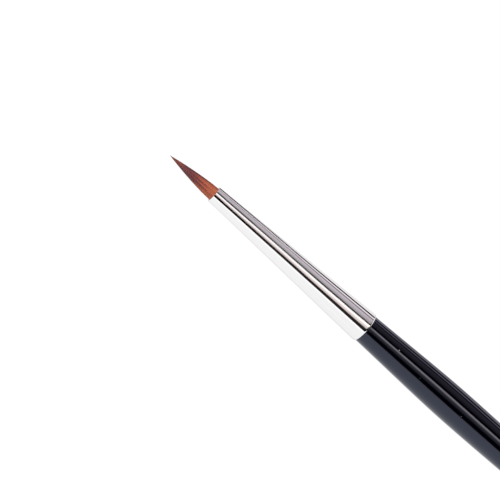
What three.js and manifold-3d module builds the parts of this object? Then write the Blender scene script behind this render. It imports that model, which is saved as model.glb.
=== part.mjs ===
// A fine detail brush for model making, lying on a bench on its finger belly and its tail.
//
// Every rigid piece is turned: an outline of (radius, along) points is spun round the brush's
// own axis. "Along" runs from the mouth of the ferrule, 0, toward the tail of the handle, so
// the hair that stands out of the ferrule lies at negative values. At the end the whole brush
// is laid over, so that the tip points to -X and the tail to +X, and it is set down on z = 0
// as it would come to rest by itself.
//
// Lengths are in millimetres.

import * as THREE from 'three';
import { mergeVertices } from 'three/addons/utils/BufferGeometryUtils.js';
import Module from 'manifold-3d';

const wasm = await Module();
wasm.setup();

// ---- Sizes -----------------------------------------------------------------------------

// Tuft: a round bundle of hairs that narrows from the mouth on to a needle point, bulging a
// little on the way.
const tuftLength = 10.8;
const tuftRadius = 1.33;
const tuftFullness = 1.5; // 1 would be a straight cone, 2 a blunt dome
const rootTail = 1.7; // how far the bundle reaches behind the thread that ties it
const rootSink = 0.3; // how far inside the mouth the glued roots end
const rootGrip = 0.2; // how deep a hair is held in them
const hairRings = 10;
const hairsMore = 6; // how many more hairs each ring has than the one inside it
const hairThickness = 0.8; // share of the room that each hair has
const stepBack = 0.6; // share of the tuft where the outermost hairs come to their ends
const crowding = 0.8; // how fast rings drop out beyond that, as the tuft gets thinner
const hairPoint = 1.1; // length over which one hair sharpens
const hairRagged = 0.35; // how much shorter the shortest hair of a ring is
const raggedAround = 5; // how the ends wave in and out from hair to hair, in radians
const raggedAcross = 3; // and from ring to ring

// Ferrule: one seamless drawn cone with a short lip, its rear edge swaged down on the wood.
const ferruleLength = 37.5;
const ferruleRadius = 3.09;
const ferruleWall = 0.3;
const lipLength = 2.3;
const lipFlare = 0.07;
const swageLength = 1;
const swageDepth = 0.24;

// Handle: a tenon in the ferrule, a belly for the fingers, and a long waist to a slim tail.
const handleLength = 140;
const bellyRadius = 3.5;
const bellyPlace = 22.8; // behind the ferrule
const shoulderSlope = 0.03; // rise per length where the handle leaves the ferrule
const shoulderPull = 0.4; // how far that slope carries, as a share of the way to the belly
const bellyPull = 0.27; // how far the belly stays level ahead, as a share of the way to it
const waistPull = 0.2; // how far it stays level behind, as a share of the waist
const tailRadius = 2;
const tailPull = 0.6; // how far the tail's thickness carries, as a share of the waist
const tailRound = 1.8; // length of the rounded end
const tailFlat = 0.9; // radius of the face where the lathe parted the wood
const tenonLength = 15;
const tenonBevel = 0.5;

// What holds it together: thread round the roots, cement behind them, glue on the tenon.
const threadThickness = 0.22;
const threadTurns = 4;
const threadPitch = 0.7;
const cementCover = 2.25; // how thick the cement lies over the ends of the roots
const glueFilm = 0.08;
const glueInset = 1.5; // bare wood left at each end of the glued length

// Clearances between neighbours.
const fit = 0.04;
const hairFit = 0.02; // between the bundle and the bore of the mouth
const layerFit = 0.02; // between two layers of the bundle
const shoulderGap = 0.03; // between the ferrule's rear edge and the handle's shoulder

// Grams for each cubic millimetre, to find the point of balance.
const wood = 0.0006;
const aluminium = 0.0027;
const hair = 0.0003;
const thread = 0.0003;
const resin = 0.0011;

// Smoothness.
const sides = 24; // even, so that one flat side faces straight down
const hairSides = 3;
const threadSides = 5;
const threadSteps = 12; // for each turn
const swageSteps = 5;
const frontSteps = 7;
const waistSteps = 20;
const tailSteps = 4;

// Lengths that differ by less than this are the same.
const rounding = 1e-9;

// ---- Sizes that follow from those --------------------------------------------------------

const mouthRadius = tuftRadius + hairFit + ferruleWall;
const lipRadius = mouthRadius + lipFlare;
const swageStart = ferruleLength - swageLength;
const rearRadius = ferruleRadius - swageDepth;
const tenonFront = ferruleLength - tenonLength;
const shoulder = ferruleLength + shoulderGap;
const belly = shoulder + bellyPlace;
const tail = shoulder + handleLength;

// ---- Shaping helpers ---------------------------------------------------------------------

const point = (radius, along) => new THREE.Vector2(radius, along);

// Only positions matter to a solid, and its shared corners must be one and the same. A side
// that collapsed on the axis is left out.
function closeUp(geometry) {
  geometry.deleteAttribute('normal');
  geometry.deleteAttribute('uv');
  const merged = mergeVertices(geometry);
  const corners = Array.from(merged.index.array);
  const kept = [];
  for (let i = 0; i < corners.length; i += 3) {
    const [a, b, c] = corners.slice(i, i + 3);
    if (a !== b && b !== c && c !== a) kept.push(a, b, c);
  }
  merged.setIndex(kept);
  return merged;
}

// Spins an outline round the axis, with a flat side facing down once the brush is laid over.
function turned(outline) {
  return closeUp(new THREE.LatheGeometry(outline, sides, Math.PI / sides));
}

// A pipe outline is closed on itself: out along one side and back along the other.
function pipe(outer, inner) {
  const back = [...inner].reverse();
  return turned([...outer, ...back, outer[0]]);
}

// Runs a skin of flat-sided rings between two closed ends. The rings turn right-handed about
// the way the skin runs, and the last ring may be one point.
function skin(rings) {
  const positions = rings.flat().flatMap((p) => [p.x, p.y, p.z]);
  const faces = [];
  const firstOf = [];
  let count = 0;
  for (const ring of rings) {
    firstOf.push(count);
    count += ring.length;
  }
  for (let r = 0; r + 1 < rings.length; r += 1) {
    const near = rings[r].length;
    const far = rings[r + 1].length;
    for (let s = 0; s < near; s += 1) {
      const a = firstOf[r] + s;
      const b = firstOf[r] + ((s + 1) % near);
      const c = firstOf[r + 1] + (s % far);
      const d = firstOf[r + 1] + ((s + 1) % far);
      faces.push(a, b, d);
      if (c !== d) faces.push(a, d, c);
    }
  }
  const last = rings.length - 1;
  for (let s = 1; s + 1 < rings[0].length; s += 1) {
    faces.push(firstOf[0], firstOf[0] + s + 1, firstOf[0] + s);
  }
  for (let s = 1; s + 1 < rings[last].length; s += 1) {
    faces.push(firstOf[last], firstOf[last] + s, firstOf[last] + s + 1);
  }
  const geometry = new THREE.BufferGeometry();
  geometry.setAttribute('position', new THREE.Float32BufferAttribute(positions, 3));
  geometry.setIndex(faces);
  return geometry;
}

function toManifold(geometry) {
  return new wasm.Manifold(new wasm.Mesh({
    numProp: 3,
    vertProperties: new Float32Array(geometry.attributes.position.array),
    triVerts: new Uint32Array(geometry.index.array),
  }));
}

function joined(geometries) {
  const mesh = wasm.Manifold.union(geometries.map(toManifold)).getMesh();
  const geometry = new THREE.BufferGeometry();
  geometry.setAttribute('position', new THREE.BufferAttribute(mesh.vertProperties, 3));
  geometry.setIndex(new THREE.BufferAttribute(mesh.triVerts, 1));
  return geometry;
}

// ---- Ferrule -----------------------------------------------------------------------------

// The cone between the lip and the swage, as a radius at any place along it.
function coneRadius(along) {
  const share = (along - lipLength) / (swageStart - lipLength);
  return THREE.MathUtils.lerp(lipRadius, ferruleRadius, share);
}

const boreRadius = (along) => coneRadius(along) - ferruleWall;

// The rear edge bends in along a quarter of an ellipse. "Inward" is how far inside the outer
// surface the line runs: nothing for the outside, the wall for the bore.
function swage(inward) {
  const points = [];
  for (let i = 0; i <= swageSteps; i += 1) {
    const turn = (i / swageSteps) * (Math.PI / 2);
    const drop = swageDepth * (1 - Math.cos(turn));
    points.push(point(ferruleRadius - inward - drop, swageStart + swageLength * Math.sin(turn)));
  }
  return points;
}

function ferruleLine(inward) {
  return [
    point(mouthRadius - inward, 0),
    point(lipRadius - inward, lipLength),
    ...swage(inward),
  ];
}

function makeFerrule() {
  return pipe(ferruleLine(0), ferruleLine(ferruleWall));
}

// ---- Handle ------------------------------------------------------------------------------

// The tenon keeps room for the glue between two running clearances.
const tenonInset = ferruleWall + fit + glueFilm + fit;

function curvePoints(curve, steps) {
  return curve.getPoints(steps).slice(1);
}

function handleOutline() {
  const tenonTip = coneRadius(tenonFront) - tenonInset;
  const bevelEnd = tenonFront + tenonBevel;
  const climb = bellyPlace * shoulderPull;
  const front = new THREE.CubicBezierCurve(
    point(rearRadius, shoulder),
    point(rearRadius + shoulderSlope * climb, shoulder + climb),
    point(bellyRadius, belly - bellyPlace * bellyPull),
    point(bellyRadius, belly),
  );
  const roundStart = tail - tailRound;
  const waistRun = roundStart - belly;
  const waist = new THREE.CubicBezierCurve(
    point(bellyRadius, belly),
    point(bellyRadius, belly + waistRun * waistPull),
    point(tailRadius, roundStart - waistRun * tailPull),
    point(tailRadius, roundStart),
  );
  const end = new THREE.EllipseCurve(
    tailFlat, roundStart, tailRadius - tailFlat, tailRound, 0, Math.PI / 2,
  );
  return [
    point(0, tenonFront),
    point(tenonTip - tenonBevel / 2, tenonFront),
    point(coneRadius(bevelEnd) - tenonInset, bevelEnd),
    ...swage(tenonInset),
    point(rearRadius - tenonInset, shoulder),
    point(rearRadius, shoulder),
    ...curvePoints(front, frontSteps),
    ...curvePoints(waist, waistSteps),
    ...curvePoints(end, tailSteps),
    point(0, tail),
  ];
}

// ---- Tuft --------------------------------------------------------------------------------

// Share 0 is the mouth and share 1 the tip.
const tuftRadiusAt = (share) => tuftRadius * (1 - share ** tuftFullness);

// The hairs stand in rings. With six more in each ring than in the one inside it, all have
// the same room. Toward the tip the outer rings end on the surface one after another,
// and the rings that are left spread over the whole section: this is how many are left.
function ringsLeft(share) {
  const thinning = tuftRadiusAt(share) / tuftRadiusAt(stepBack);
  return hairRings * Math.min(1, thinning ** crowding);
}

const hairRoom = (share) => tuftRadiusAt(share) / (ringsLeft(share) + 0.5);

// The share of the tuft at which a ring ends, which is where that many rings are left.
function ringEnd(ring) {
  const thinning = (ring / hairRings) ** (1 / crowding);
  return (1 - (thinning * tuftRadiusAt(stepBack)) / tuftRadius) ** (1 / tuftFullness);
}

// All hairs bend at the same shares of the tuft, so two neighbours stay apart between them.
// The rings that the outer ones hide run straight past the first bend.
const bends = [0, 0.3, 0.6, 0.82, 0.995];
const hiddenRings = 6;

function betweenBends(share, valueAt) {
  const i = Math.max(1, bends.findIndex((bend) => bend >= share));
  const part = (share - bends[i - 1]) / (bends[i] - bends[i - 1]);
  return THREE.MathUtils.lerp(valueAt(bends[i - 1]), valueAt(bends[i]), part);
}

const hairsIn = (ring) => Math.max(1, hairsMore * ring);

function makeHair(ring, place) {
  const angle = (2 * Math.PI * (place + ring / 2)) / hairsIn(ring);
  const wave = (1 + Math.sin(raggedAround * place + raggedAcross * ring)) / 2;
  const shorter = ring === 0 ? 0 : (hairRagged * wave) / tuftLength;
  const end = Math.min(ringEnd(ring) - shorter, bends.at(-1));
  const taperStart = end - hairPoint / tuftLength;
  const lastBend = taperStart - hairPoint / tuftLength / 2;
  const stops = bends.slice(ring > hiddenRings ? 1 : 2).filter((bend) => bend < lastBend);
  const section = (share, along, sharp) => {
    const reach = ring * betweenBends(share, hairRoom);
    const half = (hairThickness / 2) * betweenBends(share, hairRoom);
    const count = sharp ? 1 : hairSides;
    return Array.from({ length: count }, (_, s) => {
      const turn = angle - (2 * Math.PI * s) / hairSides;
      const size = sharp ? 0 : half;
      return new THREE.Vector3(
        reach * Math.sin(angle) + size * Math.sin(turn),
        along,
        reach * Math.cos(angle) + size * Math.cos(turn),
      );
    });
  };
  return skin([
    section(0, rootSink + rootGrip, false),
    ...stops.map((bend) => section(bend, -bend * tuftLength, false)),
    section(taperStart, -taperStart * tuftLength, false),
    section(end, -end * tuftLength, true),
  ]);
}

// A layer of the tuft: the glued roots of its rings as one slice of the bundle, and each hair
// growing out of that slice.
function makeHairLayer(firstRing, lastRing) {
  const room = hairRoom(0);
  const outer = (lastRing + 0.5) * room - (lastRing === hairRings ? 0 : layerFit / 2);
  const inner = firstRing === 0 ? 0 : (firstRing - 0.5) * room + layerFit / 2;
  const outside = [point(outer, rootSink), point(outer, rootLength)];
  const roots = firstRing === 0
    ? turned([point(0, rootSink), ...outside, point(0, rootLength)])
    : pipe(outside, [point(inner, rootSink), point(inner, rootLength)]);
  const hairs = [];
  for (let ring = firstRing; ring <= lastRing; ring += 1) {
    for (let place = 0; place < hairsIn(ring); place += 1) {
      hairs.push(makeHair(ring, place));
    }
  }
  return joined([roots, ...hairs]);
}

// ---- Thread, cement and glue ---------------------------------------------------------------

// The tied bundle is pulled into the cone until the thread wedges: the bore is there as wide
// as the bundle with the thread round it. The thread turns in straight steps, whose middles
// are what comes nearest to the bundle.
const threadInside = (tuftRadius + fit) / Math.cos(Math.PI / threadSteps);
const threadReach = threadInside + threadThickness / 2;
const wedgeBore = threadInside + threadThickness + fit;
const boreRise = (boreRadius(ferruleLength) - boreRadius(0)) / ferruleLength;
const threadStart = (wedgeBore - boreRadius(0)) / boreRise + threadThickness;
const threadEnd = threadStart + threadTurns * threadPitch;
const rootLength = threadEnd + rootTail;

function threadRoute() {
  const points = [];
  for (let i = 0; i <= threadTurns * threadSteps; i += 1) {
    const turn = i / threadSteps;
    const angle = 2 * Math.PI * turn;
    points.push(new THREE.Vector3(
      threadReach * Math.sin(angle),
      threadStart + threadPitch * turn,
      threadReach * Math.cos(angle),
    ));
  }
  return points;
}

function makeThread() {
  const route = threadRoute();
  const out = new THREE.Vector3();
  const rings = route.map((centre, i) => {
    out.set(centre.x, 0, centre.z).normalize();
    const before = route[Math.max(0, i - 1)];
    const after = route[Math.min(route.length - 1, i + 1)];
    const along = after.clone().sub(before).normalize();
    const up = along.clone().cross(out);
    return Array.from({ length: threadSides }, (_, s) => {
      const turn = (2 * Math.PI * s) / threadSides;
      return centre.clone()
        .addScaledVector(out, (threadThickness / 2) * Math.cos(turn))
        .addScaledVector(up, (threadThickness / 2) * Math.sin(turn));
    });
  });
  return skin(rings);
}

// The least gap between two places on the thread that lie more than half a turn apart.
function threadGap() {
  const route = threadRoute();
  let least = Infinity;
  for (let i = 0; i < route.length; i += 1) {
    for (let j = i + threadSteps / 2; j < route.length; j += 1) {
      least = Math.min(least, route[i].distanceTo(route[j]));
    }
  }
  return least - threadThickness;
}
console.log(`least gap between turns of the thread: ${threadGap().toFixed(3)} mm`);

// A cup of cement behind the thread, poured round the ends of the roots and over them.
function makeCement() {
  const start = threadEnd + threadThickness;
  const end = rootLength + cementCover;
  const pocket = tuftRadius + fit;
  const floor = rootLength + fit;
  return turned([
    point(0, floor),
    point(pocket, floor),
    point(pocket, start),
    point(boreRadius(start) - fit, start),
    point(boreRadius(end) - fit, end),
    point(0, end),
  ]);
}

function makeGlue() {
  const ends = [tenonFront + glueInset, swageStart - glueInset];
  const outer = ends.map((along) => point(boreRadius(along) - fit, along));
  const inner = ends.map((along) => point(boreRadius(along) - fit - glueFilm, along));
  return pipe(outer, inner);
}

// ---- Finishes ----------------------------------------------------------------------------

const finish = (color, roughness, metalness) => (
  new THREE.MeshStandardMaterial({ color, roughness, metalness })
);
const lacquer = finish(0x12141d, 0.12, 0);
const brightMetal = finish(0xe6e4e2, 0.12, 1);
const darkHair = finish(0x7a4a44, 0.5, 0);
const redHair = finish(0xb0623f, 0.5, 0);
const cotton = finish(0xe4dcc8, 0.9, 0);
const amber = finish(0xb98a4a, 0.3, 0);
const clearGlue = finish(0xd9d2bd, 0.35, 0);

// ---- The brush ---------------------------------------------------------------------------

const brush = new THREE.Group();
brush.rotation.z = -Math.PI / 2;
const total = { mass: 0, moment: 0 };

// Adds to the total what the solid weighs, as a sum of the slim pyramids that stand on its
// faces and share the origin as their tip, and that mass times its place along the brush.
function weigh(geometry, density) {
  const corners = geometry.index.array;
  const at = (i) => new THREE.Vector3().fromBufferAttribute(geometry.attributes.position, i);
  for (let i = 0; i < corners.length; i += 3) {
    const [a, b, c] = [at(corners[i]), at(corners[i + 1]), at(corners[i + 2])];
    const mass = density * a.dot(b.clone().cross(c)) / 6;
    total.mass += mass;
    total.moment += mass * (a.y + b.y + c.y) / 4;
  }
}

function add(name, geometry, material, density) {
  const mesh = new THREE.Mesh(geometry, material);
  mesh.name = name;
  brush.add(mesh);
  weigh(geometry, density);
}

const outline = handleOutline();
add('handle', turned(outline), lacquer, wood);
add('ferrule', makeFerrule(), brightMetal, aluminium);
add('hair_core', makeHairLayer(0, 3), redHair, hair);
add('hair_inner', makeHairLayer(4, 6), darkHair, hair);
add('hair_middle', makeHairLayer(7, 8), darkHair, hair);
add('hair_outer', makeHairLayer(9, 10), redHair, hair);
add('root_thread', makeThread(), cotton, thread);
add('root_cement', makeCement(), amber, resin);
add('tenon_glue', makeGlue(), clearGlue, resin);

// A brush that is let go settles with its point of balance over the stretch that it lies on:
// the two places of the outline, one before that point and one behind it, whose joining line
// has every other place above it. That line is laid level.
function restingSlope() {
  const balance = total.moment / total.mass;
  for (const a of outline) {
    for (const b of outline) {
      if (a.y >= balance || b.y < balance) continue;
      const fall = (a.x - b.x) / (b.y - a.y);
      const clear = outline.every((p) => p.x <= a.x - fall * (p.y - a.y) + rounding);
      if (clear) return fall;
    }
  }
  throw new Error('the brush has no stretch to lie on');
}

const laid = new THREE.Group();
laid.add(brush);
laid.rotation.y = Math.atan(restingSlope() * Math.cos(Math.PI / sides));

const part = new THREE.Group();
part.add(laid);
const box = new THREE.Box3().setFromObject(part, true);
const middle = box.getCenter(new THREE.Vector3());
laid.position.set(-middle.x, -middle.y, -box.min.z);

export default part;
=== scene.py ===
# %% [markdown]
# A fine detail brush for model making
#
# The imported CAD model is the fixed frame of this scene: nine turned, wound or bundled pieces
# with flat sides and thick stand-in hairs. Blender gives each of them the surface that the
# eye sees: a mirror-smooth lacquer, a drawn metal cone, and a tuft of many fine hairs. Every
# new piece is worked out from the CAD corners, so it stays where the model says.

import bpy
import numpy as np
from mathutils import Matrix


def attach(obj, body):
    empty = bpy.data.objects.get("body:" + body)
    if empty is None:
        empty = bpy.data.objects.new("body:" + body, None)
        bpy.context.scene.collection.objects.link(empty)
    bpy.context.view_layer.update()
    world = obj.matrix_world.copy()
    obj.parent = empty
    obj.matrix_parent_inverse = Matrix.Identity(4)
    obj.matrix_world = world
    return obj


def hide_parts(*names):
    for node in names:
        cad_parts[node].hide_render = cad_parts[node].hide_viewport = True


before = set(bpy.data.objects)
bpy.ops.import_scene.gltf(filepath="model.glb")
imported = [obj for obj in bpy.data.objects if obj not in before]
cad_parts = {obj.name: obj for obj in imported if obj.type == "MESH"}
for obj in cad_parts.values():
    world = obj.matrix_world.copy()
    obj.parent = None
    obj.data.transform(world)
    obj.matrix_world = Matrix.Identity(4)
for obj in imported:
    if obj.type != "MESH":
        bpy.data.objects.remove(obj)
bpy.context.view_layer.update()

MM = 0.001

# %% [markdown]
# The brush's own axis
#
# A brush is a body of revolution, but it lies on its belly and its tail, so its axis leans by
# a little under a degree. The angle could be copied from the CAD source. It is measured here
# instead: the corners of a turned solid are spread evenly round its axis, so their longest
# direction is that axis. All the new pieces are then drawn in three simple numbers: how far
# along the brush, how far across it and how far up from its axis.

# %% Measure the axis
def corners(node):
    """Every corner of a CAD node, once each, in metres."""
    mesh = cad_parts[node].data
    places = np.empty(3 * len(mesh.vertices), np.float32)
    mesh.vertices.foreach_get("co", places)
    return np.unique(places.reshape(-1, 3), axis=0).astype(float)


handle_corners = corners("handle")
handle_middle = handle_corners.mean(axis=0)
AXIS = np.linalg.svd(handle_corners - handle_middle, full_matrices=False)[2][0]
AXIS = AXIS * np.sign(AXIS[0])
ACROSS = np.array([0.0, 1.0, 0.0])
UP = np.cross(AXIS, ACROSS)
MOUTH = handle_middle + AXIS * ((corners("ferrule") - handle_middle) @ AXIS).min()
print("the brush leans by", round(float(np.degrees(np.arcsin(-AXIS[2]))), 3), "degrees")


def place(along, across, up):
    """Points of the scene from lengths in mm: mouth + along * axis + across * y + up * up."""
    parts = [np.asarray(a, float)[..., None] * b for a, b in
             ((along, AXIS), (across, ACROSS), (up, UP))]
    return MOUTH + MM * (parts[0] + parts[1] + parts[2])


# %% [markdown]
# The side that is looked at
#
# Photographer and maker both speak of the side of the brush that faces them. That direction
# stands square to the axis. The lamp, the cards, the specks of dust and the uneven bands of
# the hair are all placed by it.

# %% Measure the near side
LOOK_DOWN = np.radians(32)


def unit(vector):
    """A direction of length 1: the vector over its own length."""
    return vector / np.linalg.norm(vector)


near_side = np.array([0, -np.cos(LOOK_DOWN), np.sin(LOOK_DOWN)])
near_side = unit(near_side - AXIS * (near_side @ AXIS))
far_edge = np.cross(near_side, AXIS)
far_edge = far_edge * np.sign(far_edge @ ACROSS)
NEAR_ANGLE = np.arctan2(near_side @ UP, near_side @ ACROSS)
TURN_SIGN = np.sign(np.cross(near_side, far_edge) @ np.cross(ACROSS, UP))
print("near side at", np.degrees(NEAR_ANGLE).round(1), "degrees, turning", TURN_SIGN)

# %% [markdown]
# Reading a turned solid
#
# The CAD solids are rings of flat sides. Only three numbers of a ring matter to a smooth
# piece: its place along the axis and the radii of its outer and inner corners. The smooth
# circle has to fit inside the flat sides, or it would poke through the neighbours that were
# fitted to them, so its radius is the distance of a flat side and not of a corner.

# %% Measure the rings
RING_GAP = 0.01
FLAT_SIDES = 24
JUST_INSIDE = 0.9995
ROUND = JUST_INSIDE * np.cos(np.pi / FLAT_SIDES)


def rings(node):
    """Rings of a turned node, front to back: along, outer and inner radius of a round one."""
    local = (corners(node) - MOUTH) / MM
    along = local @ AXIS
    radius = np.hypot(local @ ACROSS, local @ UP) * ROUND
    order = np.argsort(along)
    starts = np.flatnonzero(np.diff(along[order], prepend=-np.inf) > RING_GAP)
    return (np.minimum.reduceat(along[order], starts),
            np.maximum.reduceat(radius[order], starts),
            np.minimum.reduceat(radius[order], starts))


ferrule_along, ferrule_outer, ferrule_inner = rings("ferrule")
handle_along, handle_outer, handle_inner = rings("handle")
FERRULE_LENGTH = ferrule_along[-1]
print("ferrule", FERRULE_LENGTH.round(2), "mm; handle ends at", handle_along[-1].round(2), "mm")

# %% [markdown]
# From numbers to a mesh
#
# Blender can spin a profile with a modifier, but a grid of points is just as easy to work out
# and says exactly where each point lies. One function puts any points and faces into a mesh.
# It also stores where each point lies round and along the brush, because fine scratches and
# grain follow the brush and not the room.

# %% Make a piece
def table(*parts):
    """Lists side by side, as the columns of a table."""
    return np.stack(parts, axis=-1)


def add(name, data):
    """A new object of the scene."""
    thing = bpy.data.objects.new(name, data)
    bpy.context.scene.collection.objects.link(thing)
    return thing


def make_piece(name, points, faces, marks, node):
    """A smooth-shaded mesh object. Marks are named values, one for each point."""
    mesh = bpy.data.meshes.new(name)
    mesh.from_pydata(points.tolist(), [], [f for group in faces for f in group.tolist()])
    for mark, values in marks.items():
        kind, field = ("FLOAT_VECTOR", "vector") if values.ndim == 2 else ("FLOAT", "value")
        layer = mesh.attributes.new(mark, kind, "POINT")
        layer.data.foreach_set(field, values.astype(np.float32).ravel())
    mesh.shade_smooth()
    mesh.validate()
    piece = add(name, mesh)
    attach(piece, "root")
    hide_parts(node)
    print(name, len(mesh.vertices), "points", len(mesh.polygons), "faces")
    return piece


# %% [markdown]
# Spinning a profile
#
# Most pieces of a brush are turned, so each is an outline carried round the axis. A pipe's
# last ring is joined to its first, and a solid is closed on the axis by a fan of triangles,
# so no seam or pole stays open.

# %% Spin a profile
TURN_STEPS = 128


def grid_faces(rows, columns, first=0):
    """Four-cornered faces of a grid whose last column joins its first."""
    row, column = np.meshgrid(np.arange(rows - 1), np.arange(columns), indexing="ij")
    after = (column + 1) % columns
    faces = table(row * columns + column, row * columns + after,
                  (row + 1) * columns + after, (row + 1) * columns + column)
    return faces.reshape(-1, 4) + first


def end_fans(start, last, pole):
    """Triangles that join the ring start to the point pole, and the ring last to pole + 1."""
    return [table(start, start * 0 + pole, np.roll(start, -1)),
            table(last, np.roll(last, -1), last * 0 + pole + 1)]


def spun(line, closed):
    """A turned surface: each (along, radius) of the line goes round the axis in a circle.

    A closed line comes back to its start, as that of a pipe does. An open one starts and
    ends on the axis, where the circle shrinks to one point.
    """
    line = np.asarray(line, float)
    turn = np.linspace(0, 2 * np.pi, TURN_STEPS, endpoint=False)
    body = line if closed else line[1:-1]
    along = np.repeat(body[:, :1], TURN_STEPS, axis=1)
    radius = np.repeat(body[:, 1:], TURN_STEPS, axis=1)
    points = place(along, radius * np.cos(turn), radius * np.sin(turn)).reshape(-1, 3)
    around = table(np.cos(turn) + 0 * along, np.sin(turn) + 0 * along, along)
    around = around.reshape(-1, 3)
    faces = [grid_faces(len(body), TURN_STEPS)]
    start = np.arange(TURN_STEPS)
    last = start + (len(body) - 1) * TURN_STEPS
    if closed:
        faces.append(table(last, np.roll(last, -1), np.roll(start, -1), start))
        return points, faces, around
    ends = place(line[[0, -1], 0], [0, 0], [0, 0])
    poles = table([0, 0], [0, 0], line[[0, -1], 0])
    faces += end_fans(start, last, len(points))
    return np.vstack([points, ends]), faces, np.vstack([around, poles])


def turned(name, line, node, closed=False):
    """A piece spun from its outline, with the mark of where each point lies."""
    points, faces, around = spun(line, closed)
    return make_piece(name, points, faces, {"around": around}, node)


# %% [markdown]
# Edges
#
# Turned wood has no sharp edge: sanding leaves a small round that catches a thin line of
# light. It could be drawn into the outline. Blender's Bevel does it for the whole piece at
# once, wherever two faces meet at a steep angle.

# %% Round the edges
SHARP_EDGE = np.radians(40)
EDGE_STEPS = 3


def soften(piece, width):
    """Rounds every sharp edge of a piece over a width in mm, as sanding does."""
    bevel = piece.modifiers.new("rounded edges", "BEVEL")
    bevel.width = width * MM
    bevel.segments = EDGE_STEPS
    bevel.limit_method = "ANGLE"
    bevel.angle_limit = SHARP_EDGE
    bevel.harden_normals = True
    print(piece.name, "has its edges rounded over", width, "mm")


# %% [markdown]
# The ferrule
#
# A real ferrule is a seamless metal cone, drawn through a die, with its rear edge rolled down
# on the wood. It could be a cylinder with a taper. A profile is better, because the thin wall,
# its round rim and the rolled edge show in every close look: the outer line runs back, turns
# round the edge and returns inside.

# %% Build the ferrule
LIP_RING = 1
ROLL_RING = 2
NOSE = 0.06
NOSE_STEPS = 6
CONE_STEPS = 60
CONE_HOLD = 0.03
ROLL_LENGTH = 0.35
ROLL_STEPS = 16


def ferrule_line(radii, side):
    """Mouth, lip, straight cone, then a quarter of an ellipse where the edge is rolled in.

    The mouth begins with a quarter of a circle, which turns toward the middle of the wall:
    side is 1 on the outer line and -1 on the inner one.
    """
    mouth, lip, ring, end = (ferrule_along[i] for i in (0, LIP_RING, ROLL_RING, -1))
    turn = np.linspace(0, np.pi / 2, NOSE_STEPS)
    into = NOSE * (1 - np.cos(turn))
    rise = (radii[LIP_RING] - radii[0]) / (lip - mouth)
    nose = table(mouth + into, radii[0] + rise * into - side * NOSE * (1 - np.sin(turn)))
    slope = (radii[ROLL_RING] - radii[LIP_RING]) / (ring - lip)
    cone = np.append(np.linspace(lip, end - ROLL_LENGTH - CONE_HOLD, CONE_STEPS),
                     end - ROLL_LENGTH)
    cone = table(cone, radii[LIP_RING] + slope * (cone - lip))
    turn = np.linspace(0, np.pi / 2, ROLL_STEPS)[1:]
    drop = cone[-1, 1] - radii[-1]
    rolled = table(cone[-1, 0] + ROLL_LENGTH * np.sin(turn), radii[-1] + drop * np.cos(turn))
    return np.vstack([nose, cone, rolled])


ferrule_profile = np.vstack([ferrule_line(ferrule_outer, 1),
                             ferrule_line(ferrule_inner, -1)[::-1]])
ferrule = turned("ferrule_drawn", ferrule_profile, "ferrule", closed=True)

# %% [markdown]
# The handle
#
# The wood is turned, then dipped in lacquer until it shines like glass. The CAD rings lie on
# its true curve but leave flats between them that such a gloss would betray. A spline
# through the same rings bends evenly: its second slope changes in straight lines from ring to
# ring. The last rings, at the tail, become a quarter of an ellipse round its small flat end.

# %% Run a smooth curve through the rings
BODY_STEPS = 240
END_RINGS = 4


def spline(at, values, wanted):
    """Natural cubic spline through (at, values), read off at the wanted places.

    The second slopes solve one linear system: at each inner ring the slopes of the two
    pieces that meet there are the same.
    """
    step = np.diff(at)
    slope = np.diff(values) / step
    count = len(at)
    system = np.eye(count)
    inner = np.arange(1, count - 1)
    system[inner, inner - 1] = step[:-1]
    system[inner, inner] = 2 * (step[:-1] + step[1:])
    system[inner, inner + 1] = step[1:]
    right = np.zeros(count)
    right[1:-1] = 6 * np.diff(slope)
    bend = np.linalg.solve(system, right)
    k = np.clip(np.searchsorted(at, wanted) - 1, 0, count - 2)
    a = (at[k + 1] - wanted) / step[k]
    b = 1 - a
    curve = ((a ** 3 - a) * bend[k] + (b ** 3 - b) * bend[k + 1]) * step[k] ** 2 / 6
    return a * values[k] + b * values[k + 1] + curve


shown = handle_along > FERRULE_LENGTH + RING_GAP
body_along = handle_along[shown][:-END_RINGS]
body_radius = handle_outer[shown][:-END_RINGS]
wanted = np.linspace(body_along[0], body_along[-1], BODY_STEPS)
body = table(wanted, spline(body_along, body_radius, wanted))
print("the belly is", (2 * body[:, 1].max()).round(2), "mm thick")

# %% Build the handle
END_STEPS = 20

tail_along, tail_flat = handle_along[-1], handle_outer[-1]
turn = np.linspace(0, np.pi / 2, END_STEPS)[1:]
end = table(body[-1, 0] + (tail_along - body[-1, 0]) * np.sin(turn),
            tail_flat + (body[-1, 1] - tail_flat) * np.cos(turn))
handle_profile = np.vstack([[[body[0, 0], 0]], body, end, [[tail_along, 0]]])
handle = turned("handle_lacquered", handle_profile, "handle")
soften(handle, width=0.1)

# %% [markdown]
# The tenon
#
# Inside the ferrule the handle goes on as a thinner tenon. It is the same wood, but the
# lacquer stops at its shoulder, so it is a piece with its own finish. It runs a little way
# into the handle, so that no gap can open between the two.

# %% Build the tenon
TENON_SINK = 1.0

bare = ~shown
tenon = table(handle_along[bare], handle_outer[bare])
neck = handle_inner[shown][0]
tenon_end = body_along[0] + TENON_SINK
tenon = np.vstack([[[tenon[0, 0], 0]], tenon, [[tenon_end, neck], [tenon_end, 0]]])
tenon_piece = turned("handle_tenon", tenon, "handle")
soften(tenon_piece, width=0.08)

# %% [markdown]
# The tuft
#
# The tuft takes the most skill in the real brush: well over a thousand hairs stand in one
# round bundle, full at the mouth, and close to a needle point. Blender has hair curves, but
# the hairs here have to be closed meshes that stay on their CAD layer, so each is a thin
# three-sided spike. The roots are spread like the seeds of a sunflower, which gives each hair
# the same room without rows that the eye would find. Hairs near the outside end earlier, and
# the rest spread out to fill the bundle, as in the CAD.

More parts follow.
